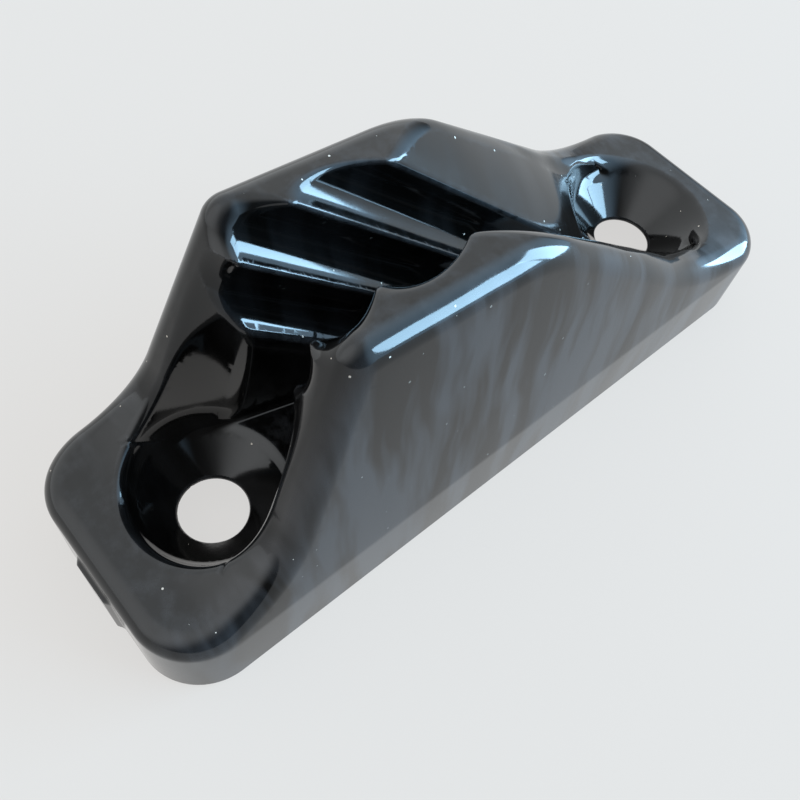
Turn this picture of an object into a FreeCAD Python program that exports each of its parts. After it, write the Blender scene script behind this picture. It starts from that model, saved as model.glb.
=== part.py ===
import FreeCAD, Part
import Sketcher
import math
import os

# Jam cleat for a sheet or halyard of 3 to 6 mm: one moulding in black nylon, screwed
# flat on a deck or spar. Two walls stand on a thick foot and close in a V. Slanted
# scoops down the inside of each wall leave the teeth that hold the rope. The entry
# end (-X) climbs steeply to the walls, the exit end (+X) falls away slowly, and each
# end has a countersunk screw hole at the bottom of a round well.
# Frame: origin at the middle of the base, +X along the rope to the exit, +Z up, mm.

SIZES = (
    ("length", 64.0, "foot, end to end"),
    ("width", 19.5, "foot, side to side"),
    ("corner_radius", 4.8, "foot corners in plan"),
    ("foot_height", 6.1, "upright band round the foot"),
    ("foot_draft", 0.5, "draft of that band, degrees"),
    ("side_lean", 7.3, "lean of the sides above the band, degrees"),
    ("end_height", 7.6, "top of the low ends"),
    ("ramp_inset", 8.0, "foot of the steep entry ramp, in from the entry end"),
    ("ramp_run", 7.25, "run of the entry ramp, from its foot to the crest"),
    ("crest_start_height", 26.0, "wall height there"),
    ("crest_end_x", -1.2, "end of the level crest, past the centre"),
    ("crest_end_height", 24.75, "wall height there"),
    ("tail_inset", 9.6, "foot of the long exit slope, in from the exit end"),
    ("ramp_foot_round", 9.0, "hollow at the foot of the entry ramp"),
    ("crest_start_round", 1.8, "round where the ramp meets the crest"),
    ("crest_end_round", 12.0, "round where the crest meets the slope"),
    ("tail_foot_round", 26.0, "hollow at the foot of the exit slope"),
    ("top_round", 1.6, "round along the outer top edge"),
    ("groove_floor_height", 9.8, "bottom of the rope groove"),
    ("groove_floor_half", 0.6, "half width of the groove at its bottom"),
    ("groove_lean", 10.43, "lean of the groove sides, degrees"),
    ("groove_floor_round", 0.5, "round in the bottom corners of the groove"),
    ("tooth_slope", 40.0, "fall of the teeth toward the exit, degrees"),
    ("tooth_pitch", 6.49, "tooth to tooth, along the groove"),
    ("tooth_count", 3, "scoops down each wall"),
    ("last_tooth_inset", 19.49, "last tooth at the groove floor, in from the exit end"),
    ("scoop_depth", 1.4, "depth of a scoop behind its tooth edges"),
    ("flare_floor_height", 7.0, "bottom of the flares at both ends"),
    ("flare_angle", 25.0, "angle at which the exit flare leaves the last tooth, degrees"),
    ("flare_round", 14.0, "bell of the exit flare"),
    ("flare_half", 5.7, "half width of the exit flare where it meets the well"),
    ("flare_past", 2.0, "run of the exit flare past the screw"),
    ("entry_flare_angle", 14.2, "angle of the straight entry flare from the first tooth, degrees"),
    ("screw_inset", 9.3, "screw centres, in from the ends"),
    ("screw_diameter", 5.1, "clearance for a 4.8 mm screw"),
    ("well_floor_height", 6.55, "top of the countersinks above the deck"),
    ("seat_diameter", 10.0, "countersink at the floor of the well"),
    ("seat_angle", 90.0, "countersink angle, degrees"),
    ("well_floor_rise", 0.35, "rise of the well floor from the countersink to the wall"),
    ("entry_well_diameter", 11.7, "screw well at the entry end"),
    ("exit_well_diameter", 12.6, "screw well at the exit end"),
    ("entry_rim_round", 0.6, "round on the rim of the entry well"),
    ("exit_rim_round", 0.5, "round on the rim of the exit well"),
    ("hollow_height", 3.7, "hollow under the foot"),
    ("hollow_wall", 2.7, "foot wall left round the hollow"),
    ("hollow_round", 1.6, "corners of the hollow in plan"),
    ("gate_width", 3.4, "moulding gate mark on the entry end"),
    ("gate_height", 5.4, "height of the gate mark"),
    ("gate_proud", 0.3, "how far the gate mark stands out"),
)
V = {name: value for name, value, note in SIZES}

os.makedirs("parts", exist_ok=True)
doc = FreeCAD.newDocument("JamCleat")
sheet = doc.addObject("Spreadsheet::Sheet", "Sizes")
for row, (name, value, note) in enumerate(SIZES, 1):
    sheet.set("A%d" % row, note)
    sheet.set("B%d" % row, str(value))
    sheet.setAlias("B%d" % row, name)
doc.recompute()

body = doc.addObject("PartDesign::Body", "CleatBody")
body.Label = "cleat_body"


def origin_plane(role):
    for feature in body.Origin.OriginFeatures:
        if feature.Role == role:
            return feature
    raise ValueError("no origin plane " + role)


def new_sketch(name, role, offset=None):
    sketch = body.newObject("Sketcher::SketchObject", name)
    sketch.AttachmentSupport = (origin_plane(role), [""])
    sketch.MapMode = "FlatFace"
    if offset is not None:
        sketch.AttachmentOffset = offset
    return sketch


def unit(a, b):
    d = math.hypot(b[0] - a[0], b[1] - a[1])
    return ((b[0] - a[0]) / d, (b[1] - a[1]) / d)


def vec(p):
    return FreeCAD.Vector(p[0], p[1], 0)


def pin(sketch, geo, pos, point, binding):
    """Hold one sketch point at its two distances from the origin."""
    for kind, value, rule in (("DistanceX", point[0], binding[0]),
                              ("DistanceY", point[1], binding[1])):
        index = sketch.addConstraint(Sketcher.Constraint(kind, -1, 1, geo, pos, value))
        if rule is not None:
            sketch.setExpression("Constraints[%d]" % index, rule)


def round_corner(before, p, after, radius):
    """Tangent points, centre and turn of the arc that rounds corner p."""
    u, w = unit(p, before), unit(p, after)
    half = math.acos(max(-1.0, min(1.0, u[0] * w[0] + u[1] * w[1]))) / 2
    run, reach = radius / math.tan(half), radius / math.sin(half)
    mid = unit((0, 0), (u[0] + w[0], u[1] + w[1]))
    turn = (p[0] - before[0]) * (after[1] - p[1]) - (p[1] - before[1]) * (after[0] - p[0])
    return ((p[0] + u[0] * run, p[1] + u[1] * run), (p[0] + w[0] * run, p[1] + w[1] * run),
            (p[0] + mid[0] * reach, p[1] + mid[1] * reach), turn)


def outline(sketch, corners):
    """Closed outline from (point, rule, radius, radius rule) corners, rounds tangent."""
    n = len(corners)
    starts, ends, arcs = {}, {}, {}
    for i, (p, rule, radius, radius_rule) in enumerate(corners):
        if radius:
            before, after = corners[i - 1][0], corners[(i + 1) % n][0]
            a, b, c, turn = round_corner(before, p, after, radius)
            a0 = math.atan2(a[1] - c[1], a[0] - c[0])
            b0 = math.atan2(b[1] - c[1], b[0] - c[0])
            arcs[i] = (c, a0, b0, turn > 0)
            ends[(i - 1) % n] = a
            starts[i] = b
        else:
            ends[(i - 1) % n] = p
            starts[i] = p
    lines = {}
    for i in range(n):
        lines[i] = sketch.addGeometry(Part.LineSegment(vec(starts[i]), vec(ends[i])), False)
    for i, (p, rule, radius, radius_rule) in enumerate(corners):
        last, this = lines[(i - 1) % n], lines[i]
        if i not in arcs:
            sketch.addConstraint(Sketcher.Constraint("Coincident", last, 2, this, 1))
            pin(sketch, this, 1, p, rule)
            continue
        c, a0, b0, left = arcs[i]
        circle = Part.Circle(vec(c), FreeCAD.Vector(0, 0, 1), radius)
        first, second = (a0, b0) if left else (b0, a0)
        arc = sketch.addGeometry(Part.ArcOfCircle(circle, first, second), False)
        head, tail = (1, 2) if left else (2, 1)
        sketch.addConstraint(Sketcher.Constraint("Tangent", last, 2, arc, head))
        sketch.addConstraint(Sketcher.Constraint("Tangent", arc, tail, this, 1))
        index = sketch.addConstraint(Sketcher.Constraint("Radius", arc, radius))
        sketch.setExpression("Constraints[%d]" % index, radius_rule)
        corner = sketch.addGeometry(Part.Point(vec(p)), True)
        sketch.addConstraint(Sketcher.Constraint("PointOnObject", corner, 1, last))
        sketch.addConstraint(Sketcher.Constraint("PointOnObject", corner, 1, this))
        pin(sketch, corner, 1, p, rule)


def edges_where(shape, test):
    return ["Edge%d" % i for i, e in enumerate(shape.Edges, 1) if test(e)]


def state_ok(feature):
    doc.recompute()
    if "Invalid" in feature.State or "Error" in feature.State or not feature.Shape.isValid():
        raise RuntimeError(feature.Name + " did not build")
    return feature


def plan_rectangle(sketch, half_x, half_y, radius, rules):
    """Rounded rectangle about the origin, given its half sizes and their rules."""
    rx, ry, rr = rules
    signs = ((1, 1), (-1, 1), (-1, -1), (1, -1))
    outline(sketch, [((sx * half_x, sy * half_y),
                      (("" if sx > 0 else "-") + "(" + rx + ")", ("" if sy > 0 else "-") + "(" + ry + ")"),
                      radius, rr) for sx, sy in signs])


# The foot: an upright band with a little draft.
foot_plan = new_sketch("FootPlan", "XY_Plane")
plan_rectangle(foot_plan, V["length"] / 2, V["width"] / 2, V["corner_radius"],
               ("Sizes.length / 2", "Sizes.width / 2", "Sizes.corner_radius"))
doc.recompute()
foot = body.newObject("PartDesign::Pad", "Foot")
foot.Profile = foot_plan
foot.setExpression("Length", "Sizes.foot_height")
foot.setExpression("TaperAngle", "-Sizes.foot_draft")
state_ok(foot)

# The block above the foot, leaning in on all four sides up to the highest crest.
inset = V["foot_height"] * math.tan(math.radians(V["foot_draft"]))
inset_rule = "Sizes.foot_height * tan(Sizes.foot_draft)"
block_plan = new_sketch("BlockPlan", "XY_Plane",
                        FreeCAD.Placement(FreeCAD.Vector(0, 0, V["foot_height"]), FreeCAD.Rotation()))
block_plan.setExpression("AttachmentOffset.Base.z", "Sizes.foot_height")
plan_rectangle(block_plan, V["length"] / 2 - inset, V["width"] / 2 - inset, V["corner_radius"] - inset,
               ("Sizes.length / 2 - " + inset_rule, "Sizes.width / 2 - " + inset_rule,
                "Sizes.corner_radius - " + inset_rule))
doc.recompute()
block = body.newObject("PartDesign::Pad", "Block")
block.Profile = block_plan
block.setExpression("Length", "Sizes.crest_start_height - Sizes.foot_height + 0.5")
block.setExpression("TaperAngle", "-Sizes.side_lean")
state_ok(block)

# Everything above the side view of the cleat comes off right across.
side_view = new_sketch("SideView", "XZ_Plane")
past, above = V["length"] / 2 + 4, V["crest_start_height"] + 8
ramp_foot, ramp_rule = V["length"] / 2 - V["ramp_inset"], "Sizes.length / 2 - Sizes.ramp_inset"
crest_start, crest_rule = ramp_foot - V["ramp_run"], ramp_rule + " - Sizes.ramp_run"
tail_foot, tail_rule = V["length"] / 2 - V["tail_inset"], "Sizes.length / 2 - Sizes.tail_inset"
outline(side_view, [
    ((-past, V["end_height"]), ("-(Sizes.length / 2 + 4)", "Sizes.end_height"), 0, None),
    ((-ramp_foot, V["end_height"]), ("-(" + ramp_rule + ")", "Sizes.end_height"),
     V["ramp_foot_round"], "Sizes.ramp_foot_round"),
    ((-crest_start, V["crest_start_height"]), ("-(" + crest_rule + ")", "Sizes.crest_start_height"),
     V["crest_start_round"], "Sizes.crest_start_round"),
    ((V["crest_end_x"], V["crest_end_height"]), ("Sizes.crest_end_x", "Sizes.crest_end_height"),
     V["crest_end_round"], "Sizes.crest_end_round"),
    ((tail_foot, V["end_height"]), (tail_rule, "Sizes.end_height"),
     V["tail_foot_round"], "Sizes.tail_foot_round"),
    ((past, V["end_height"]), ("Sizes.length / 2 + 4", "Sizes.end_height"), 0, None),
    ((past, above), ("Sizes.length / 2 + 4", "Sizes.crest_start_height + 8"), 0, None),
    ((-past, above), ("-(Sizes.length / 2 + 4)", "Sizes.crest_start_height + 8"), 0, None),
])
doc.recompute()
side_cut = body.newObject("PartDesign::Pocket", "SideCut")
side_cut.Profile = side_view
side_cut.Type = "ThroughAll"
side_cut.Midplane = True
state_ok(side_cut)


def side_points():
    """Tangent points and arc centres along the top of the side view, entry to exit."""
    corners = [((-past, V["end_height"]), 0), ((-ramp_foot, V["end_height"]), V["ramp_foot_round"]),
               ((-crest_start, V["crest_start_height"]), V["crest_start_round"]),
               ((V["crest_end_x"], V["crest_end_height"]), V["crest_end_round"]),
               ((tail_foot, V["end_height"]), V["tail_foot_round"]), ((past, V["end_height"]), 0)]
    pieces, start = [], corners[0][0]
    for i in range(1, 5):
        p, radius = corners[i]
        a, b, c, turn = round_corner(corners[i - 1][0], p, corners[i + 1][0], radius)
        pieces.append((start, a, None, 0, 0))
        pieces.append((a, b, c, radius, 1 if turn < 0 else -1))
        start = b
    pieces.append((start, corners[5][0], None, 0, 0))
    return pieces


def top_height(x):
    """Height of the side view at x."""
    for a, b, c, radius, sign in side_points():
        if a[0] <= x <= b[0]:
            if c is None:
                return a[1] + (b[1] - a[1]) * (x - a[0]) / (b[0] - a[0])
            return c[1] + sign * math.sqrt(max(0.0, radius ** 2 - (x - c[0]) ** 2))
    return V["end_height"]


# The outer edge of the top is rounded all the way round.
def on_outer_top(edge):
    box = edge.BoundBox
    if box.ZMin < V["end_height"] - 0.05:
        return False
    crossing = box.YMin < -0.01 and box.YMax > 0.01
    return not crossing or min(abs(box.XMin), abs(box.XMax)) > V["length"] / 2 - 2


top_edge = body.newObject("PartDesign::Fillet", "TopEdge")
top_edge.Base = (side_cut, edges_where(side_cut.Shape, on_outer_top))
top_edge.setExpression("Radius", "Sizes.top_round")
state_ok(top_edge)

# The screw wells with their countersinks, one turned at each end.
screw_x, screw_rule = V["length"] / 2 - V["screw_inset"], "Sizes.length / 2 - Sizes.screw_inset"
screw_r, seat_r = V["screw_diameter"] / 2, V["seat_diameter"] / 2
floor_z, floor_rule = V["well_floor_height"], "Sizes.well_floor_height"
land_z = floor_z - (seat_r - screw_r) / math.tan(math.radians(V["seat_angle"] / 2))
land_rule = floor_rule + " - (Sizes.seat_diameter - Sizes.screw_diameter) / 2 / tan(Sizes.seat_angle / 2)"


def screw_well(name, side, diameter):
    view = new_sketch(name + "View", "XZ_Plane",
                      FreeCAD.Placement(FreeCAD.Vector(side * screw_x, 0, 0), FreeCAD.Rotation()))
    view.setExpression("AttachmentOffset.Base.x", ("" if side > 0 else "-") + "(" + screw_rule + ")")
    well_r, well_rule = V[diameter] / 2, "Sizes." + diameter + " / 2"
    outline(view, [
        ((0, 0), (None, None), 0, None),
        ((screw_r, 0), ("Sizes.screw_diameter / 2", None), 0, None),
        ((screw_r, land_z), ("Sizes.screw_diameter / 2", land_rule), 0, None),
        ((seat_r, floor_z), ("Sizes.seat_diameter / 2", floor_rule), 0, None),
        ((well_r, floor_z + V["well_floor_rise"]),
         (well_rule, floor_rule + " + Sizes.well_floor_rise"), 0, None),
        ((well_r, above), (well_rule, "Sizes.crest_start_height + 8"), 0, None),
        ((0, above), (None, "Sizes.crest_start_height + 8"), 0, None),
    ])
    doc.recompute()
    well = body.newObject("PartDesign::Groove", name)
    well.Profile = view
    well.ReferenceAxis = (view, ["V_Axis"])
    well.Angle = 360
    return state_ok(well)


exit_well = screw_well("ExitWell", 1, "exit_well_diameter")
entry_well = screw_well("EntryWell", -1, "entry_well_diameter")
# The rope groove: a V with a narrow flat floor, open at both ends.
lean = math.tan(math.radians(V["groove_lean"]))
mouth = V["groove_floor_half"] + (above - V["groove_floor_height"]) * lean
mouth_rule = ("Sizes.groove_floor_half + (Sizes.crest_start_height + 8 - Sizes.groove_floor_height)"
              " * tan(Sizes.groove_lean)")
groove_view = new_sketch("GrooveView", "YZ_Plane")
corner = V["groove_floor_round"]
outline(groove_view, [
    ((V["groove_floor_half"], V["groove_floor_height"]),
     ("Sizes.groove_floor_half", "Sizes.groove_floor_height"), corner, "Sizes.groove_floor_round"),
    ((mouth, above), (mouth_rule, "Sizes.crest_start_height + 8"), 0, None),
    ((-mouth, above), ("-(" + mouth_rule + ")", "Sizes.crest_start_height + 8"), 0, None),
    ((-V["groove_floor_half"], V["groove_floor_height"]),
     ("-Sizes.groove_floor_half", "Sizes.groove_floor_height"), corner, "Sizes.groove_floor_round"),
])
doc.recompute()
groove = body.newObject("PartDesign::Pocket", "Groove")
groove.Profile = groove_view
groove.Type = "ThroughAll"
groove.Midplane = True
state_ok(groove)



# The rims of the wells are eased where they meet the top.
def on_well_rim(edge, axis_x, radius):
    points = edge.discretize(Number=7)
    return all(abs(math.hypot(p.x - axis_x, p.y) - radius) < 0.01 and abs(p.z - top_height(p.x)) < 0.02
               for p in points)


def eased_rim(name, base, side, diameter, size):
    rim = body.newObject("PartDesign::Fillet", name)
    rim.Base = (base, edges_where(
        base.Shape, lambda e: on_well_rim(e, side * screw_x, V[diameter] / 2)))
    rim.setExpression("Radius", "Sizes." + size)
    return state_ok(rim)


entry_rim = eased_rim("EntryRim", groove, -1, "entry_well_diameter", "entry_rim_round")
exit_rim = eased_rim("ExitRim", entry_rim, 1, "exit_well_diameter", "exit_rim_round")

# One scoop: drawn on the level of the groove floor and cut up along the slope of the
# teeth, leaning out with the wall, so that it keeps its depth all the way to the top.
rise = math.radians(V["tooth_slope"])
up_wall = FreeCAD.Vector(-math.cos(rise), lean * math.sin(rise), math.sin(rise))


def cut_up_the_wall(name, sketch):
    before = body.Tip.Shape.Volume
    cut = body.newObject("PartDesign::Pocket", name)
    cut.Profile = sketch
    cut.UseCustomVector = True
    cut.Direction = up_wall
    cut.AlongSketchNormal = False
    cut.setExpression("Length", "2 * Sizes.length")
    doc.recompute()
    if abs(before - cut.Shape.Volume) < 1:
        cut.Reversed = True
    return state_ok(cut)


last_tooth = V["length"] / 2 - V["last_tooth_inset"]
floor_level = FreeCAD.Placement(FreeCAD.Vector(0, 0, V["groove_floor_height"]), FreeCAD.Rotation())
scoop_plan = new_sketch("ScoopPlan", "XY_Plane", floor_level)
scoop_plan.setExpression("AttachmentOffset.Base.z", "Sizes.groove_floor_height")
x1 = last_tooth - V["tooth_count"] * V["tooth_pitch"]
x2, y1 = x1 + V["tooth_pitch"], V["groove_floor_half"]
scoop_radius = (V["tooth_pitch"] ** 2 / 4 + V["scoop_depth"] ** 2) / (2 * V["scoop_depth"])
xm, ym = (x1 + x2) / 2, y1 + V["scoop_depth"] - scoop_radius
first_rule = "Sizes.length / 2 - Sizes.last_tooth_inset - Sizes.tooth_count * Sizes.tooth_pitch"
second_rule = "Sizes.length / 2 - Sizes.last_tooth_inset - (Sizes.tooth_count - 1) * Sizes.tooth_pitch"
for a, b in (((x2, 0), (x2, y1)), ((x1, y1), (x1, 0)), ((x1, 0), (x2, 0))):
    scoop_plan.addGeometry(Part.LineSegment(vec(a), vec(b)), False)
scoop_arc = Part.ArcOfCircle(Part.Circle(vec((xm, ym)), FreeCAD.Vector(0, 0, 1), scoop_radius),
                             math.atan2(y1 - ym, x2 - xm), math.atan2(y1 - ym, x1 - xm))
scoop_plan.addGeometry(scoop_arc, False)
for first, at, second, to in ((0, 2, 3, 1), (3, 2, 1, 1), (1, 2, 2, 1), (2, 2, 0, 1)):
    scoop_plan.addConstraint(Sketcher.Constraint("Coincident", first, at, second, to))
pin(scoop_plan, 0, 2, (x2, y1), (second_rule, "Sizes.groove_floor_half"))
pin(scoop_plan, 1, 1, (x1, y1), (first_rule, "Sizes.groove_floor_half"))
pin(scoop_plan, 2, 1, (x1, 0), (first_rule, None))
pin(scoop_plan, 2, 2, (x2, 0), (second_rule, None))
radius_row = scoop_plan.addConstraint(Sketcher.Constraint("Radius", 3, scoop_radius))
scoop_plan.setExpression("Constraints[%d]" % radius_row,
                         "(Sizes.tooth_pitch ^ 2 / 4 + Sizes.scoop_depth ^ 2) / (2 * Sizes.scoop_depth)")
doc.recompute()
scoop = cut_up_the_wall("Scoop", scoop_plan)


def mirrored(name, features, role):
    copy = body.newObject("PartDesign::Mirrored", name)
    copy.Originals = features
    copy.MirrorPlane = (origin_plane(role), [""])
    body.Tip = copy
    return state_ok(copy)


# The scoops repeat along the groove and face each other from wall to wall.
teeth = body.newObject("PartDesign::MultiTransform", "Teeth")
teeth.Originals = [scoop]
along = body.newObject("PartDesign::LinearPattern", "TeethAlong")
along.Direction = (origin_plane("X_Axis"), [""])
across = body.newObject("PartDesign::Mirrored", "TeethAcross")
across.MirrorPlane = (origin_plane("XZ_Plane"), [""])
teeth.Transformations = [along, across]
body.Tip = teeth
doc.recompute()
along.setExpression("Length", "Sizes.tooth_pitch * (Sizes.tooth_count - 1)")
along.setExpression("Occurrences", "Sizes.tooth_count")
state_ok(teeth)

# The flares, drawn at their own floor, where the first and last tooth edges run down to
# it: a bell that opens into the exit well and a straight taper into the entry well. Each
# half reaches across the middle, so that the two leave nothing between them as they lean.
drop = V["groove_floor_height"] - V["flare_floor_height"]
drop_rule = "(Sizes.groove_floor_height - Sizes.flare_floor_height)"
run = drop / math.tan(rise)
half = V["groove_floor_half"] - drop * lean
half_rule = "Sizes.groove_floor_half - " + drop_rule + " * tan(Sizes.groove_lean)"
under, under_rule = -drop * lean, "-" + drop_rule + " * tan(Sizes.groove_lean)"
far_x, far_rule = screw_x + V["flare_past"], screw_rule + " + Sizes.flare_past"
exit_x = last_tooth + run
exit_rule = "Sizes.length / 2 - Sizes.last_tooth_inset + " + drop_rule + " / tan(Sizes.tooth_slope)"
flare_level = FreeCAD.Placement(FreeCAD.Vector(0, 0, V["flare_floor_height"]), FreeCAD.Rotation())
flare_plan = new_sketch("FlarePlan", "XY_Plane", flare_level)
flare_plan.setExpression("AttachmentOffset.Base.z", "Sizes.flare_floor_height")
bell, lead, reach = V["flare_round"], math.radians(V["flare_angle"]), V["flare_half"]
bell_c = (exit_x - bell * math.sin(lead), half + bell * math.cos(lead))
meet = (bell_c[0] + math.sqrt(bell ** 2 - (bell_c[1] - reach) ** 2), reach)
flare_plan.addGeometry(Part.ArcOfCircle(
    Part.Circle(vec(bell_c), FreeCAD.Vector(0, 0, 1), bell),
    math.atan2(half - bell_c[1], exit_x - bell_c[0]),
    math.atan2(meet[1] - bell_c[1], meet[0] - bell_c[0])), False)
for a, b in ((meet, (far_x, reach)), ((far_x, reach), (far_x, under)),
             ((far_x, under), (exit_x, under)), ((exit_x, under), (exit_x, half))):
    flare_plan.addGeometry(Part.LineSegment(vec(a), vec(b)), False)
for first, at, second, to in ((0, 2, 1, 1), (1, 2, 2, 1), (2, 2, 3, 1), (3, 2, 4, 1), (4, 2, 0, 1)):
    flare_plan.addConstraint(Sketcher.Constraint("Coincident", first, at, second, to))
pin(flare_plan, 0, 1, (exit_x, half), (exit_rule, half_rule))
pin(flare_plan, 0, 3, bell_c, (exit_rule + " - Sizes.flare_round * sin(Sizes.flare_angle)",
                               half_rule + " + Sizes.flare_round * cos(Sizes.flare_angle)"))
pin(flare_plan, 2, 1, (far_x, reach), (far_rule, "Sizes.flare_half"))
flare_plan.addConstraint(Sketcher.Constraint("Horizontal", 1))
pin(flare_plan, 2, 2, (far_x, under), (far_rule, under_rule))
pin(flare_plan, 4, 1, (exit_x, under), (exit_rule, under_rule))
doc.recompute()
flare = cut_up_the_wall("Flare", flare_plan)
flares = mirrored("FlareAcross", [flare], "XZ_Plane")

entry_x = last_tooth - V["tooth_count"] * V["tooth_pitch"] + run
entry_rule = ("Sizes.length / 2 - Sizes.last_tooth_inset - Sizes.tooth_count * Sizes.tooth_pitch + "
              + drop_rule + " / tan(Sizes.tooth_slope)")
entry_half = half + (entry_x + screw_x) * math.tan(math.radians(V["entry_flare_angle"]))
entry_half_rule = (half_rule + " + (" + entry_rule + " + " + screw_rule + ") * tan(Sizes.entry_flare_angle)")
mouth_plan = new_sketch("EntryFlarePlan", "XY_Plane", flare_level)
mouth_plan.setExpression("AttachmentOffset.Base.z", "Sizes.flare_floor_height")
outline(mouth_plan, [
    ((entry_x, half), (entry_rule, half_rule), 0, None),
    ((-screw_x, entry_half), ("-(" + screw_rule + ")", entry_half_rule), 0, None),
    ((-screw_x, under), ("-(" + screw_rule + ")", under_rule), 0, None),
    ((entry_x, under), (entry_rule, under_rule), 0, None),
])
doc.recompute()
entry_flare = cut_up_the_wall("EntryFlare", mouth_plan)
entry_flares = mirrored("EntryFlareAcross", [entry_flare], "XZ_Plane")

# The underside is hollowed, which leaves an even wall under the screws.
hollow_plan = new_sketch("HollowPlan", "XY_Plane")
wall = V["hollow_wall"]
plan_rectangle(hollow_plan, V["length"] / 2 - wall, V["width"] / 2 - wall, V["hollow_round"],
               ("Sizes.length / 2 - Sizes.hollow_wall", "Sizes.width / 2 - Sizes.hollow_wall",
                "Sizes.hollow_round"))
doc.recompute()
before = body.Tip.Shape.Volume
hollow = body.newObject("PartDesign::Pocket", "Hollow")
hollow.Profile = hollow_plan
hollow.setExpression("Length", "Sizes.hollow_height")
doc.recompute()
if before - hollow.Shape.Volume < 1:
    hollow.Reversed = True
state_ok(hollow)

# The moulding gate leaves a low pad on the entry end.
gate_plan = new_sketch("GatePlan", "YZ_Plane",
                       FreeCAD.Placement(FreeCAD.Vector(0, 0, -V["length"] / 2 - V["gate_proud"]),
                                         FreeCAD.Rotation()))
gate_plan.setExpression("AttachmentOffset.Base.z", "-Sizes.length / 2 - Sizes.gate_proud")
half_gate = V["gate_width"] / 2
outline(gate_plan, [
    ((-half_gate, 0), ("-Sizes.gate_width / 2", None), 0, None),
    ((half_gate, 0), ("Sizes.gate_width / 2", None), 0, None),
    ((half_gate, V["gate_height"]), ("Sizes.gate_width / 2", "Sizes.gate_height"), 0, None),
    ((-half_gate, V["gate_height"]), ("-Sizes.gate_width / 2", "Sizes.gate_height"), 0, None),
])
doc.recompute()
gate = body.newObject("PartDesign::Pad", "Gate")
gate.Profile = gate_plan
gate.setExpression("Length", "Sizes.gate_proud + Sizes.hollow_wall / 2")
state_ok(gate)

shape = body.Shape
if len(shape.Solids) != 1 or not shape.isValid():
    raise RuntimeError("the cleat is not one valid solid")
for feature in doc.Objects:
    if "Invalid" in feature.State or "Error" in feature.State:
        raise RuntimeError(feature.Name + " is " + ", ".join(feature.State))
shape.exportStep("parts/cleat_body.step")
print("cleat_body", round(shape.Volume, 1), "mm3")
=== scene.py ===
import math

import bpy
import numpy as np
from bpy.props import FloatProperty, FloatVectorProperty, IntProperty, PointerProperty
from mathutils import Euler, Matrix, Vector


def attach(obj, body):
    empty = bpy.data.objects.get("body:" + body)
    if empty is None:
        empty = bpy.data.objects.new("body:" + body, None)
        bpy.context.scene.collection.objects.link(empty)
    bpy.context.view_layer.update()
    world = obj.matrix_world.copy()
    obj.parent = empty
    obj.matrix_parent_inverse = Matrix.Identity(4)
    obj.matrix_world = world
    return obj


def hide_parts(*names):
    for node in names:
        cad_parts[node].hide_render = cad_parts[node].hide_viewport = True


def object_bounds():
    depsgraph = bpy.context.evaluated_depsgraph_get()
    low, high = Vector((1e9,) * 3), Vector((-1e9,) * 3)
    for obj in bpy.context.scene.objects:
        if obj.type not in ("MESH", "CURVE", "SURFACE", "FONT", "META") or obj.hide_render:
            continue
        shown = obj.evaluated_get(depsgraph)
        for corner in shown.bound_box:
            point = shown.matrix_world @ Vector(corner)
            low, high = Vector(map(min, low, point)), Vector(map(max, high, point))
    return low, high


bl_info = {
    "name": "Jam Cleat",
    "version": (1, 0, 0),
    "blender": (4, 5, 0),
    "location": "3D View > Sidebar > Jam Cleat",
    "description": "A moulded nylon jam cleat for 3 to 6 mm rope, with its studio",
    "category": "Add Mesh",
}

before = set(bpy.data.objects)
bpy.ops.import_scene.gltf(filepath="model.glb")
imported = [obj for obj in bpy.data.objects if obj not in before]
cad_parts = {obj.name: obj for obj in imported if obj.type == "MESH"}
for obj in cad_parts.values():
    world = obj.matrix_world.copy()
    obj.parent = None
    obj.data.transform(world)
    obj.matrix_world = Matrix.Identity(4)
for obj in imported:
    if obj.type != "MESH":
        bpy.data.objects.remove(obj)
CAD_LOW, CAD_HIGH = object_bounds()
MM = 0.001


def millimetres(value, name, description):
    return FloatProperty(name=name, description=description, default=value * MM, unit="LENGTH", precision=5)


def degrees(value, name, description):
    return FloatProperty(name=name, description=description, default=math.radians(value), unit="ROTATION")


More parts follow.
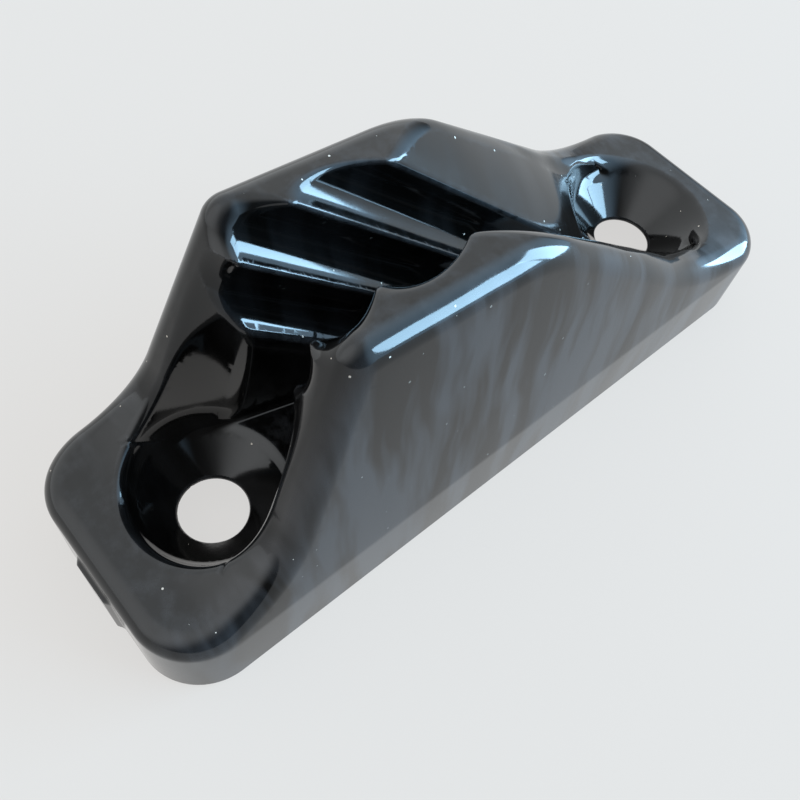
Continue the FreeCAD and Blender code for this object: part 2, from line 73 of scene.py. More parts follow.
class MouldingSizes(bpy.types.PropertyGroup):
    """Sizes of the moulding."""

    length: millimetres(64, "Length", "Foot from end to end")
    width: millimetres(19.5, "Width", "Foot from side to side")
    corner_round: millimetres(4.8, "Corner round", "Corners of the foot in plan")
    foot_height: millimetres(6.1, "Foot height", "Top of the upright band round the foot")
    foot_draft: degrees(0.5, "Foot draft", "Lean of the foot band")
    side_lean: degrees(7.3, "Side lean", "Lean of the sides above the foot")
    tab_height: millimetres(7.6, "Tab height", "Top of the flat tabs at both ends")
    ramp_foot: millimetres(-24, "Ramp foot", "Where the steep entry ramp leaves the tab")
    ramp_foot_round: millimetres(9, "Ramp foot round", "Sweep from the tab into the ramp")
    crest_start: millimetres(-16.75, "Crest start", "Top of the ramp")
    crest_start_height: millimetres(26, "Crest start height", "Height of the walls there")
    crest_start_round: millimetres(1.8, "Crest start round", "Round at the top of the ramp")
    crest_end: millimetres(-1.2, "Crest end", "Where the crest turns down")
    crest_end_height: millimetres(24.75, "Crest end height", "Height of the walls there")
    crest_end_round: millimetres(12, "Crest end round", "Round where the crest turns down")
    tail_foot: millimetres(22.4, "Tail foot", "Where the exit slope reaches the tab")
    tail_foot_round: millimetres(26, "Tail foot round", "Sweep from the exit slope into the tab")
    top_round: millimetres(1.6, "Top round", "Outer edge of the top, all round")
    foot_edge_round: millimetres(0.25, "Foot edge round", "Lower edge of the foot")
    groove_floor: millimetres(9.8, "Groove floor", "Floor of the rope groove between the teeth")
    groove_half: millimetres(0.6, "Groove half", "Half width of the groove at its floor")
    groove_lean: degrees(10.43, "Groove lean", "Lean of the groove's sides")
    tooth_slope: degrees(40, "Tooth slope", "Slope of the tooth edges")
    last_tooth: millimetres(12.51, "Last tooth", "Last tooth edge at the groove floor")
    tooth_pitch: millimetres(6.49, "Tooth pitch", "From one tooth edge to the next, level")
    tooth_count: IntProperty(name="Scoops", description="Scoops between the tooth edges", default=3)
    scoop_depth: millimetres(1.4, "Scoop depth", "Depth of a scoop between its two edges")
    scoop_lean: FloatProperty(
        name="Scoop lean", description="How much nearer to the entry a scoop is at its deepest, per depth",
        default=0.42, min=0, max=0.6)
    tooth_edge_round: millimetres(0.3, "Tooth edge round", "Round of a tooth edge")
    flare_floor: millimetres(7, "Flare floor", "Floor of the flares at both ends")
    exit_flare_angle: degrees(25, "Exit flare angle", "Opening of the exit bell at the last tooth")
    exit_flare_round: millimetres(14, "Exit flare round", "Radius of the exit bell")
    exit_flare_half: millimetres(5.7, "Exit flare half", "Half width of the exit bell")
    flare_past: millimetres(2, "Flare past", "How far the exit flare's floor runs past the screw")
    entry_flare_angle: degrees(14.2, "Entry flare angle", "Opening of the entry flare")
    screw_inset: millimetres(9.3, "Screw inset", "Screw centres, in from the ends")
    screw_diameter: millimetres(5.1, "Screw diameter", "Clearance hole")
    land_top: millimetres(4.1, "Land top", "Bottom of the 90 degree countersinks")
    entry_well: millimetres(11.7, "Entry well", "Diameter of the well at the entry end")
    exit_well: millimetres(12.6, "Exit well", "Diameter of the well at the exit end")
    rim_round: millimetres(0.4, "Rim round", "Inner edge of the crest")
    entry_rim_round: millimetres(0.8, "Entry rim round", "Edge of the entry well")
    ramp_rim_round: millimetres(1.3, "Ramp rim round", "Inner edge at the top of the ramp")
    exit_rim_round: millimetres(0.9, "Exit rim round", "Edge of the exit bowl")
    hollow_height: millimetres(3.7, "Hollow height", "Depth of the hollow under the foot")
    hollow_wall: millimetres(2.7, "Hollow wall", "Wall round the hollow")
    hollow_round: millimetres(1.6, "Hollow round", "Corners of the hollow")
    gate_width: millimetres(3.4, "Gate width", "Width of the moulding gate's pad")
    gate_height: millimetres(5.4, "Gate height", "Top of the pad")
    gate_proud: millimetres(0.3, "Gate proud", "How far the pad stands out")
    mesh_step: millimetres(0.7, "Mesh step", "Spacing of the mesh on flat faces")


class NylonSizes(bpy.types.PropertyGroup):
    """Colours and finish of the nylon."""

    black: FloatVectorProperty(
        name="Nylon colour", description="Colour of the moulded nylon",
        default=(0.0014, 0.0013, 0.0012), size=3, min=0, max=1, subtype="COLOR")
    # Paler streaks down the sides: partly marks of the melt, partly a painted reflection on the gloss.
    flow: FloatVectorProperty(
        name="Flow mark colour", description="Paler colour where the melt has flowed",
        default=(0.021, 0.0212, 0.0228), size=3, min=0, max=1, subtype="COLOR")
    # Lighter colour on the sharp edges: partly wear, partly a painted highlight.
    wear_and_highlight: FloatVectorProperty(
        name="Worn colour", description="Colour of the rubbed edges",
        default=(0.022, 0.023, 0.025), size=3, min=0, max=1, subtype="COLOR")
    dust: FloatVectorProperty(
        name="Dust colour", description="Colour of the specks of dust",
        default=(0.42, 0.38, 0.33), size=3, min=0, max=1, subtype="COLOR")
    gloss: FloatProperty(
        name="Roughness", description="Roughness of the polished mould surface",
        default=0.07, min=0, max=1, subtype="FACTOR")
    dull: FloatProperty(
        name="Dull roughness", description="Roughness where the surface is handled and rubbed",
        default=0.18, min=0, max=1, subtype="FACTOR")
    refraction: FloatProperty(
        name="Refractive index", description="How strongly the nylon reflects",
        default=1.43, min=1, max=2)
    flow_spacing: millimetres(3.2, "Flow spacing", "From one flow mark to the next along the sides")
    flow_bend: millimetres(1.6, "Flow bend", "How far the flow marks wander")
    wave_depth: millimetres(0.09, "Wave depth", "Depth of the long waves in the surface")
    mottle: millimetres(1.3, "Mottle", "Size of the mottling")
    mottle_depth: millimetres(0.003, "Mottle depth", "Depth of the mottling")
    grain: millimetres(0.32, "Grain", "Size of the finest grain")
    grain_depth: millimetres(0.0007, "Grain depth", "Depth of the grain")
    speck: millimetres(0.05, "Speck", "Usual radius of a speck of dust")
    speck_spacing: millimetres(1.2, "Speck spacing", "From one speck of dust to the next")


class StudioSizes(bpy.types.PropertyGroup):
    """Camera, floor and lights."""

    camera_place: FloatVectorProperty(
        name="Camera place", description="Where the camera stands",
        default=(-0.0329875, -0.0236267, 0.0591589), size=3, subtype="TRANSLATION", unit="LENGTH")
    camera_turn: FloatVectorProperty(
        name="Camera turn", description="Rotation of the camera about X, Y and Z",
        default=tuple(math.radians(a) for a in (30.73564, -5.824773, -40.496059)), size=3,
        subtype="EULER", unit="ROTATION")
    camera_lens: FloatProperty(
        name="Lens", description="Focal length in millimetres on a 36 mm sensor",
        default=36.8788, min=1)
    floor_glow: FloatProperty(
        name="Floor glow", description="Light that the pale floor gives off by itself",
        default=0.64, min=0)
    window_brightness: FloatProperty(
        name="Window brightness", description="Brightness of the window panes",
        default=22, min=0)
    window_colour: FloatVectorProperty(
        name="Window colour", description="Colour of the daylight in the window",
        default=(0.44, 0.74, 1.0), size=3, min=0, max=1, subtype="COLOR")


# Small rounds and fillets, which stay as they are when a size changes.
BAND_ROUND = 0.25 * MM
FLOOR_FILLET = 0.5 * MM
BELL_FILLET = 1.0 * MM
LAST_TOOTH_ROUND = 0.3 * MM
INNER_EDGE_ROUND = 0.5 * MM
SEAT_FILLET = 1.0 * MM
HOLE_EDGE_ROUND = 0.12 * MM
HOLLOW_FILLET = 0.3 * MM
HOLLOW_EDGE_ROUND = 0.25 * MM
GATE_ROUND = 0.28 * MM
GATE_FILLET = 0.7 * MM
GATE_ROOT = 1.5 * MM

# Stretches along the cleat over which the round of the inner edge changes.
ENTRY_RIM_GOES = (-24 * MM, -20 * MM)
RAMP_RIM_COMES = (-22 * MM, -18 * MM)
RAMP_RIM_GOES = (-15.5 * MM, -12 * MM)
EXIT_RIM_COMES = (13 * MM, 17 * MM)

# How the mesh is fitted to the surface.
PROBE = 0.004 * MM
LONGEST_PULL = 0.3 * MM
GENTLEST_SLOPE = 0.1
NO_SLOPE = 1e-6
CLOSE_FIT = 0.01 * MM
EDGE_PROBE = 0.08 * MM
SHARP_RADIUS = 0.25 * MM
# Edges are split in rounds: the turn of the surface in degrees that splits an edge, and the
# length in metres below which an edge stays whole.
SPLIT_ROUNDS = ((4, 0.3 * MM), (5, 0.2 * MM), (11, 0.12 * MM))


# The moulding is worked out from distances to its faces, in metres: positive outside the nylon
# and negative inside it.

def meet(first, second, radius):
    """Two faces that meet in an outer edge of this radius."""
    a, b = np.maximum(first + radius, 0), np.maximum(second + radius, 0)
    return np.minimum(np.maximum(first, second), -radius) + np.hypot(a, b)


def join(first, second, radius):
    """Two solids that grow together with an inner fillet of this radius."""
    return -meet(-first, -second, radius)


def step_up(x, start, end):
    """0 before the start, 1 after the end and smooth between them."""
    t = np.clip((x - start) / (end - start), 0, 1)
    return t * t * (3 - 2 * t)


def rounded_rectangle(x, y, half_x, half_y, radius):
    """How far a point is outside a rectangle with round corners."""
    dx, dy = np.abs(x) - half_x + radius, np.abs(y) - half_y + radius
    return np.minimum(np.maximum(dx, dy), 0) + np.hypot(np.maximum(dx, 0), np.maximum(dy, 0)) - radius


class RoundedPath:
    """Straight runs with arcs for corners, and the solid below them."""

    def __init__(self, points, radii):
        self.runs, self.arcs = [], []
        start = np.array(points[0])
        for before, corner, after, radius in zip(points, points[1:], points[2:], radii):
            back, on = np.subtract(before, corner), np.subtract(after, corner)
            back, on = back / np.linalg.norm(back), on / np.linalg.norm(on)
            half = math.acos(back @ on) / 2
            a, b = corner + back * radius / math.tan(half), corner + on * radius / math.tan(half)
            centre = corner + (back + on) / np.linalg.norm(back + on) * radius / math.sin(half)
            self.runs.append((start, a))
            self.arcs.append((centre, radius, a, b))
            start = b
        self.runs.append((start, np.array(points[-1])))

    def height(self, x):
        """Height of the path at x."""
        heights = np.zeros_like(x)
        for a, b in self.runs:
            heights = np.where((x >= a[0]) & (x <= b[0]),
                               a[1] + (b[1] - a[1]) * (x - a[0]) / (b[0] - a[0]), heights)
        for centre, radius, a, b in self.arcs:
            side = 1 if a[1] + b[1] > 2 * centre[1] else -1
            rise = np.sqrt(np.maximum(radius ** 2 - (x - centre[0]) ** 2, 0))
            heights = np.where((x > a[0]) & (x < b[0]), centre[1] + side * rise, heights)
        return heights

    def outside(self, x, z):
        """How far a point is above the path, and negative below it."""
        nearest = np.full_like(x, np.inf)
        for a, b in self.runs:
            run = b - a
            t = np.clip(((x - a[0]) * run[0] + (z - a[1]) * run[1]) / (run @ run), 0, 1)
            nearest = np.minimum(nearest, np.hypot(x - a[0] - t * run[0], z - a[1] - t * run[1]))
        for centre, radius, a, b in self.arcs:
            middle = (a + b) / 2 - centre
            middle = middle / np.linalg.norm(middle)
            reach = (a - centre) @ middle / radius
            dx, dz = x - centre[0], z - centre[1]
            far = np.hypot(dx, dz)
            on_arc = dx * middle[0] + dz * middle[1] > reach * far
            nearest = np.where(on_arc, np.minimum(nearest, np.abs(far - radius)), nearest)
        return np.where(z > self.height(x), nearest, -nearest)


class Moulding:
    """The cleat as one solid with every edge rounded."""

    def __init__(self, sizes):
        self.s = s = sizes
        end = s.length
        self.top = RoundedPath(
            [(-end, s.tab_height), (s.ramp_foot, s.tab_height), (s.crest_start, s.crest_start_height),
             (s.crest_end, s.crest_end_height), (s.tail_foot, s.tab_height), (end, s.tab_height)],
            [s.ramp_foot_round, s.crest_start_round, s.crest_end_round, s.tail_foot_round])
        self.slide = 1 / math.tan(s.tooth_slope)
        self.spread = math.tan(s.groove_lean)
        self.screw = s.length / 2 - s.screw_inset
        self.first_tooth = s.last_tooth - s.tooth_count * s.tooth_pitch
        drop = (s.groove_floor - s.flare_floor) * self.slide
        self.exit_end, self.entry_end = self.screw + s.flare_past - drop, -self.screw - drop

    def slope(self, dx, dy):
        """How steep a plan distance is in space, since height shifts the plan."""
        return np.sqrt(dx ** 2 + dy ** 2 + (dx * self.slide - dy * self.spread) ** 2)

    def shell(self, x, y, z):
        """The outer form: the foot's band, the leaning sides, the top and the flat underside."""
        s = self.s
        over = z - s.foot_height
        over = np.where(over > BAND_ROUND, over, np.maximum(over + BAND_ROUND, 0) ** 2 / (4 * BAND_ROUND))
        foot, side = math.tan(s.foot_draft), math.tan(s.side_lean)
        plan = rounded_rectangle(x, y, s.length / 2, s.width / 2, s.corner_round)
        sides = (plan + z * foot + over * (side - foot)) * math.cos(s.side_lean)
        return meet(meet(sides, self.top.outside(x, z), s.top_round), -z, s.foot_edge_round)

    def teeth(self, x, y, z):
        """The rope groove with the scoops in its wall."""
        s = self.s
        wall = (s.groove_half - y) / self.slope(0, 1)
        radius = (s.tooth_pitch ** 2 / 4 + s.scoop_depth ** 2) / (2 * s.scoop_depth)
        middle_y = s.groove_half + s.scoop_depth - radius
        for scoop in range(s.tooth_count):
            dx, dy = x - self.first_tooth - (scoop + 0.5) * s.tooth_pitch, y - middle_y
            dx = dx + s.scoop_lean * (y - s.groove_half)
            far = np.hypot(dx, dy)
            scoop_wall = (radius - far) / self.slope(dx / far, (dy + s.scoop_lean * dx) / far)
            wall = meet(wall, scoop_wall, s.tooth_edge_round)
        return join(wall, z - s.groove_floor, FLOOR_FILLET)

    def exit_flare(self, x, y, z):
        """The bell in which the groove opens toward the exit."""
        s = self.s
        radius = s.exit_flare_round
        dx = x - s.last_tooth + radius * math.sin(s.exit_flare_angle)
        dy = y - s.groove_half - radius * math.cos(s.exit_flare_angle)
        far = np.hypot(dx, dy)
        bell = (far - radius) / self.slope(dx / far, dy / far)
        half = s.exit_flare_half + (s.groove_floor - s.flare_floor) * self.spread
        bell = join(bell, (half - y) / self.slope(0, 1), BELL_FILLET)
        bell = np.minimum(bell, np.minimum(x - s.last_tooth, self.exit_end - x) / self.slope(1, 0))
        return join(bell, z - s.flare_floor, FLOOR_FILLET)

    def entry_flare(self, x, y, z):
        """The taper in which the groove opens toward the entry."""
        s = self.s
        opening = math.tan(s.entry_flare_angle)
        taper = (s.groove_half + (self.first_tooth - x) * opening - y) / self.slope(-opening, -1)
        taper = np.minimum(taper, np.minimum(self.first_tooth - x, x - self.entry_end) / self.slope(1, 0))
        return join(taper, z - s.flare_floor, FLOOR_FILLET)

    def screw_well(self, x, y, z, diameter):
        """A round well with its countersink and screw hole, at x = y = 0."""
        s = self.s
        far = np.hypot(x, y)
        cone = (s.screw_diameter / 2 + z - s.land_top - far) * math.sqrt(0.5)
        well = join(diameter / 2 - far, cone, SEAT_FILLET)
        return meet(well, s.screw_diameter / 2 - far, HOLE_EDGE_ROUND)

    def hollow(self, x, y, z):
        """The hollow under the foot."""
        s = self.s
        plan = rounded_rectangle(x, y, s.length / 2 - s.hollow_wall, s.width / 2 - s.hollow_wall,
                                 s.hollow_round)
        return join(-plan, s.hollow_height - z, HOLLOW_FILLET)

    def gate(self, x, y, z):
        """The pad that the moulding gate leaves on the entry end."""
        s = self.s
        box = meet(np.abs(y) - s.gate_width / 2, z - s.gate_height, GATE_ROUND)
        box = meet(box, -s.length / 2 - s.gate_proud - x, GATE_ROUND)
        return np.maximum(meet(box, -z, GATE_ROUND), x + s.length / 2 - GATE_ROOT)

    def rim(self, x):
        """Radius of the inner edge of the top, which changes along the cleat."""
        s = self.s
        at_entry = 1 - step_up(x, *ENTRY_RIM_GOES)
        at_ramp = step_up(x, *RAMP_RIM_COMES) * (1 - step_up(x, *RAMP_RIM_GOES))
        at_exit = step_up(x, *EXIT_RIM_COMES)
        return (s.rim_round + (s.ramp_rim_round - s.rim_round) * at_ramp
                + (s.entry_rim_round - s.rim_round) * at_entry
                + (s.exit_rim_round - s.rim_round) * at_exit)

    def outside(self, points):
        """How far points are outside the whole moulding."""
        s = self.s
        x, y, z = points.T
        side = np.abs(y)
        # The groove is drawn in plan at its floor: as it rises it slides to the entry and spreads.
        plan_x = x + (z - s.groove_floor) * self.slide
        plan_y = side - (z - s.groove_floor) * self.spread
        inner = meet(self.teeth(plan_x, plan_y, z), self.exit_flare(plan_x, plan_y, z), LAST_TOOTH_ROUND)
        inner = meet(inner, self.entry_flare(plan_x, plan_y, z), INNER_EDGE_ROUND)
        inner = meet(inner, self.screw_well(x - self.screw, y, z, s.exit_well), INNER_EDGE_ROUND)
        inner = meet(inner, self.screw_well(x + self.screw, y, z, s.entry_well), INNER_EDGE_ROUND)
        solid = meet(self.shell(x, y, z), inner, self.rim(x))
        solid = meet(solid, self.hollow(x, y, z), HOLLOW_EDGE_ROUND)
        return join(solid, self.gate(x, y, z), GATE_FILLET)

    def gradient(self, points):
        """Which way is out, and how fast the distance grows that way."""
        shifts = np.eye(3) * PROBE
        rise = np.stack([self.outside(points + d) - self.outside(points - d) for d in shifts], 1)
        return rise / (2 * PROBE)

    def normals(self, points):
        way_out = self.gradient(points)
        return way_out / np.maximum(np.linalg.norm(way_out, axis=1, keepdims=True), NO_SLOPE)

    def sharpness(self, points):
        """1 on the sharpest outer edges, 0 on flat faces and in corners."""
        around = sum(self.outside(points + d) + self.outside(points - d) for d in np.eye(3) * EDGE_PROBE)
        bend = (around - 6 * self.outside(points)) / EDGE_PROBE ** 2
        return np.clip(bend * SHARP_RADIUS, 0, 1)

    def pull(self, points, times):
        """Move points straight onto the surface."""
        for _ in range(times):
            way_out = self.gradient(points)
            step = self.outside(points) / np.maximum(np.sum(way_out ** 2, 1), GENTLEST_SLOPE)
            points = points - way_out * np.clip(step, -LONGEST_PULL, LONGEST_PULL)[:, None]
        return points


CORNERS = np.array([(i, j, k) for i in (0, 1) for j in (0, 1) for k in (0, 1)])
# The grid of the net starts this many steps before the solid, and is this many points longer.
NET_MARGIN = 1.5
NET_SPARE = 4


def net(solid, low, high, step):
    """A closed net of quads over a solid, with one point in each cell that the surface crosses."""
    counts = [int((end - start) / step) + NET_SPARE for start, end in zip(low, high)]
    start = np.array(low) - NET_MARGIN * step
    lines = [start[i] + step * np.arange(counts[i]) for i in range(3)]
    grid = np.stack(np.meshgrid(*lines, indexing="ij"), -1).reshape(-1, 3)
    field = solid.outside(grid).reshape(counts)
    inside = field < 0

    def shifted(values, corner):
        return values[tuple(slice(o, o + n - 1) for o, n in zip(corner, counts))]

    filled = sum(shifted(inside, c).astype(int) for c in CORNERS)
    crossed = (filled > 0) & (filled < 8)
    cells = np.argwhere(crossed)
    index = np.full(crossed.shape, -1)
    index[crossed] = np.arange(len(cells))
    values = np.stack([shifted(field, c)[crossed] for c in CORNERS], 1)
    total, hits = np.zeros((len(cells), 3)), np.zeros(len(cells))
    for a in range(8):
        for b in range(a + 1, 8):
            if np.abs(CORNERS[a] - CORNERS[b]).sum() != 1:
                continue
            cut = (values[:, a] < 0) != (values[:, b] < 0)
            share = np.where(cut, values[:, a] / np.where(cut, values[:, a] - values[:, b], 1), 0)
            total += cut[:, None] * (cells + CORNERS[a] + share[:, None] * (CORNERS[b] - CORNERS[a]))
            hits += cut
    quads = []
    for axis in range(3):
        v, w = np.eye(3, dtype=int)[(axis + 1) % 3], np.eye(3, dtype=int)[(axis + 2) % 3]
        nodes = np.argwhere(np.diff(inside.astype(int), axis=axis))
        around = [index[tuple((nodes - d).T)] for d in (v + w, w, 0 * v, v)]
        quad = np.stack(around, 1)
        solid_first = inside[tuple(nodes.T)]
        quads.append(np.where(solid_first[:, None], quad, quad[:, ::-1]))
    return start + step * total / hits[:, None], np.vstack(quads)


def relax(solid, points, quads, times):
    """Even out the net along the surface."""
    ends = np.vstack([quads[:, [i, (i + 1) % 4]] for i in range(4)])
    ends = np.vstack([ends, ends[:, ::-1]])
    counts = np.bincount(ends[:, 0], minlength=len(points))[:, None]
    for _ in range(times):
        mean = np.stack([np.bincount(ends[:, 0], points[ends[:, 1], i], len(points)) for i in range(3)], 1)
        points = solid.pull((points + mean / counts) / 2, times=1)
    return points


def cut_quads(points, quads):
    """Cut each quad along its shorter diagonal."""
    first = np.linalg.norm(points[quads[:, 0]] - points[quads[:, 2]], axis=1)
    second = np.linalg.norm(points[quads[:, 1]] - points[quads[:, 3]], axis=1)
    along_first = (first < second)[:, None]
    return np.vstack([np.where(along_first, quads[:, [0, 1, 2]], quads[:, [0, 1, 3]]),
                      np.where(along_first, quads[:, [0, 2, 3]], quads[:, [1, 2, 3]])])


def split_edges(solid, points, triangles, normals, turn, shortest):
    """Split the edges over which the surface turns by more than this angle."""
    ends = np.sort(np.vstack([triangles[:, [0, 1]], triangles[:, [1, 2]], triangles[:, [2, 0]]]), 1)
    edges, row = np.unique(ends, axis=0, return_inverse=True)
    a, b = edges.T
    turned = np.sum(normals[a] * normals[b], 1) < math.cos(turn)
    middle = (points[a] + points[b]) / 2
    split = turned | (np.abs(solid.outside(middle)) > CLOSE_FIT)
    split &= np.linalg.norm(points[a] - points[b], axis=1) > shortest
    added = solid.pull(middle[split], times=3)
    index = np.full(len(edges), -1)
    index[split] = len(points) + np.arange(len(added))
    mids = index[row.reshape(3, -1)].T
    marked = mids >= 0
    t, m = triangles[marked.all(1)], mids[marked.all(1)]
    pieces = [triangles[~marked.any(1)]] + [np.stack(corners, 1) for corners in (
        (t[:, 0], m[:, 0], m[:, 2]), (m[:, 0], t[:, 1], m[:, 1]),
        (m[:, 2], m[:, 1], t[:, 2]), (m[:, 0], m[:, 1], m[:, 2]))]
    for side in range(3):
        t, m = np.roll(triangles, -side, 1), np.roll(mids, -side, 1)
        one = (m[:, 0] >= 0) & (m[:, 1] < 0) & (m[:, 2] < 0)
        two = (m[:, 0] >= 0) & (m[:, 1] >= 0) & (m[:, 2] < 0)
        pieces += [np.stack([t[one, 0], m[one, 0], t[one, 2]], 1),
                   np.stack([m[one, 0], t[one, 1], t[one, 2]], 1),
                   np.stack([m[two, 0], t[two, 1], m[two, 1]], 1),
                   np.stack([t[two, 0], m[two, 0], m[two, 1]], 1),
                   np.stack([t[two, 0], m[two, 1], t[two, 2]], 1)]
    return np.vstack([points, added]), np.vstack(pieces), np.vstack([normals, solid.normals(added)])


# The colour sockets of a Mix node: its two inputs and its output.
MIX_FIRST, MIX_SECOND, MIX_RESULT = 6, 7, 2


class Nodes:
    """Adds nodes to a material or a world, and fills their sockets."""

    def __init__(self, owner):
        owner.use_nodes = True
        self.tree = owner.node_tree

    def fill(self, socket, value):
        """Link a socket to another node's output, or set its own value."""
        if isinstance(value, bpy.types.NodeSocket):
            self.tree.links.new(value, socket)
        else:
            socket.default_value = value

    def add(self, kind, inputs=(), **settings):
        node = self.tree.nodes.new(kind)
        for setting, value in settings.items():
            setattr(node, setting, value)
        for name, value in dict(inputs).items():
            self.fill(node.inputs[name], value)
        return node

    def math(self, operation, first, second=0.0):
        return self.add("ShaderNodeMath", {0: first, 1: second}, operation=operation).outputs[0]

    def vector(self, operation, *values):
        return self.add("ShaderNodeVectorMath", dict(enumerate(values)), operation=operation).outputs[0]

    def axis(self, vector, name):
        return self.add("ShaderNodeSeparateXYZ", {0: vector}).outputs[name]

    def fade(self, value, start, end, low=0.0, high=1.0, curve="LINEAR"):
        """Go from low to high while the value goes from start to end."""
        limits = {"From Min": start, "From Max": end, "To Min": low, "To Max": high}
        return self.add("ShaderNodeMapRange", {"Value": value, **limits}, interpolation_type=curve).outputs[0]

    def clouds(self, place, size, stretch, detail, roughness=0.55):
        """Soft cloudy pattern of this size, stretched along X, Y and Z."""
        place = self.vector("MULTIPLY", place, [1 / (size * share) for share in stretch])
        look = {"Vector": place, "Scale": 1.0, "Detail": detail, "Roughness": roughness}
        return self.add("ShaderNodeTexNoise", look).outputs["Fac"]

    def blend(self, share, first, second):
        """Mix two colours."""
        node = self.add("ShaderNodeMix", {0: share}, data_type="RGBA")
        for slot, colour in ((MIX_FIRST, first), (MIX_SECOND, second)):
            plain = not isinstance(colour, bpy.types.NodeSocket)
            self.fill(node.inputs[slot], (*colour, 1) if plain else colour)
        return node.outputs[MIX_RESULT]

    def bump(self, height, depth, below=None):
        """Raise the surface by this pattern, on top of the bumps below it."""
        look = {"Height": height, "Strength": 1.0, "Distance": depth}
        if below:
            look["Normal"] = below
        return self.add("ShaderNodeBump", look).outputs[0]


# How far the patterns are stretched along X, Y and Z: the paler streaks and the waves run down the sides.
EVEN = (1, 1, 1)
FLOW_STRETCH = (1, 3, 6)
WAVE_STRETCH = (1.4, 2, 5)
FLOW_WANDER = 7 * MM
# The part of each pattern's range, from 0 to 1, over which its marks fade in.
FLOW_AND_REFLECTION_MARKS = (0.44, 0.58)
MOTTLES = (0.45, 0.75)
RUBBED_AND_HIGHLIT_EDGES = (0.1, 0.9)
RUBBED_PATCHES = (0.25, 0.75)
DULL_PATCHES = (0.35, 0.75)
DULL_STREAKS = (0.4, 0.7)
# How strong the marks are: paler mottles, shares of the dull roughness, and dust's roughness.
MOTTLE_PALE = 0.5
SLOPE_DULL = 0.3
RUBBED_DULL = 0.5
STREAK_DULL = 0.25
SPECK_ROUGH = 0.4
# The paler streaks, partly melt marks and partly painted reflection, are full on the outer faces and faint
# further in: places across the cleat.
OUTER_FACES = (6.2 * MM, 7.5 * MM)
FAINT_FLOW_AND_REFLECTION = 0.12
# The upward part of a face's direction, for faces that lie flat and faces that catch dust.
LEVEL_FACES = (0.9, 0.99)
DUSTY_FACES = (0.05, 0.4)
# The share of the dust cells that stay empty.
NO_SPECK = 0.35


def dust_specks(nodes, place, upward, sizes):
    """1 on the specks of dust, which lie only on faces that look up a little."""
    cells = nodes.add("ShaderNodeTexVoronoi", {"Vector": place, "Scale": 1 / sizes.speck_spacing})
    chance = nodes.add("ShaderNodeSeparateColor", {0: cells.outputs["Color"]}).outputs[0]
    largest = 2 * sizes.speck / sizes.speck_spacing
    radius = nodes.fade(chance, NO_SPECK, 1, 0, largest)
    speck = nodes.math("LESS_THAN", cells.outputs["Distance"], radius)
    return nodes.math("MULTIPLY", speck, nodes.fade(upward, *DUSTY_FACES))


def nylon(sizes):
    """Black nylon from a polished mould: paler streaks that are partly melt marks and partly painted
    reflection, mottling, sharp edges lightened partly by wear and partly by a painted highlight, and dust.
    """
    material = bpy.data.materials.new("moulded_nylon")
    nodes = Nodes(material)
    shader = nodes.tree.nodes["Principled BSDF"]
    place = nodes.add("ShaderNodeTexCoord").outputs["Object"]
    upward = nodes.axis(nodes.add("ShaderNodeNewGeometry").outputs["Normal"], "Z")
    level = nodes.fade(upward, *LEVEL_FACES)
    sharp = nodes.add("ShaderNodeAttribute", attribute_name="sharpness").outputs["Fac"]

    wander = nodes.add("ShaderNodeTexNoise", {"Vector": place, "Scale": 1 / FLOW_WANDER, "Detail": 1.0})
    bent = nodes.vector("MULTIPLY_ADD", wander.outputs["Color"], (sizes.flow_bend,) * 3, place)
    streaks = nodes.clouds(bent, sizes.flow_spacing, FLOW_STRETCH, 3)
    waves = nodes.clouds(bent, sizes.flow_spacing, WAVE_STRETCH, 0)
    mottling = nodes.clouds(place, sizes.mottle, EVEN, 4, 0.65)
    grain = nodes.clouds(place, sizes.grain, EVEN, 2)

    across = nodes.math("ABSOLUTE", nodes.axis(place, "Y"))
    outside = nodes.fade(across, *OUTER_FACES, FAINT_FLOW_AND_REFLECTION)
    # Paler streaks on the outer faces: partly melt marks, partly painted reflection.
    flow_and_reflection_streaks = nodes.math("MULTIPLY", nodes.fade(streaks, *FLOW_AND_REFLECTION_MARKS), outside)
    mottled = nodes.math("MULTIPLY", nodes.fade(mottling, *MOTTLES, 0, MOTTLE_PALE), level)
    # Sharp edges lightened in patches: partly wear, partly a painted highlight; the same mask also dulls
    # them.
    rubbed_and_highlit = nodes.math("MULTIPLY", nodes.fade(sharp, *RUBBED_AND_HIGHLIT_EDGES), nodes.fade(mottling, *RUBBED_PATCHES))
    speck = dust_specks(nodes, place, upward, sizes)
    colour = nodes.blend(nodes.math("ADD", flow_and_reflection_streaks, mottled), sizes.black, sizes.flow)
    colour = nodes.blend(rubbed_and_highlit, colour, sizes.wear_and_highlight)
    colour = nodes.blend(speck, colour, sizes.dust)

    patches = nodes.fade(mottling, *DULL_PATCHES)
    dull = nodes.math("MULTIPLY", patches, nodes.fade(level, 0, 1, SLOPE_DULL))
    dull = nodes.math("ADD", dull, nodes.math("MULTIPLY", rubbed_and_highlit, RUBBED_DULL))
    dull = nodes.math("ADD", dull, nodes.fade(streaks, *DULL_STREAKS, 0, STREAK_DULL))
    rough = nodes.fade(dull, 0, 1, sizes.gloss, sizes.dull)
    rough = nodes.math("ADD", rough, nodes.math("MULTIPLY", speck, SPECK_ROUGH))

    bumps = nodes.bump(waves, sizes.wave_depth)
    bumps = nodes.bump(mottling, sizes.mottle_depth, bumps)
    bumps = nodes.bump(grain, sizes.grain_depth, bumps)
    finish = {"Base Color": colour, "Roughness": rough, "IOR": sizes.refraction, "Normal": bumps}
    for name, value in finish.items():
        nodes.fill(shader.inputs[name], value)
    return material


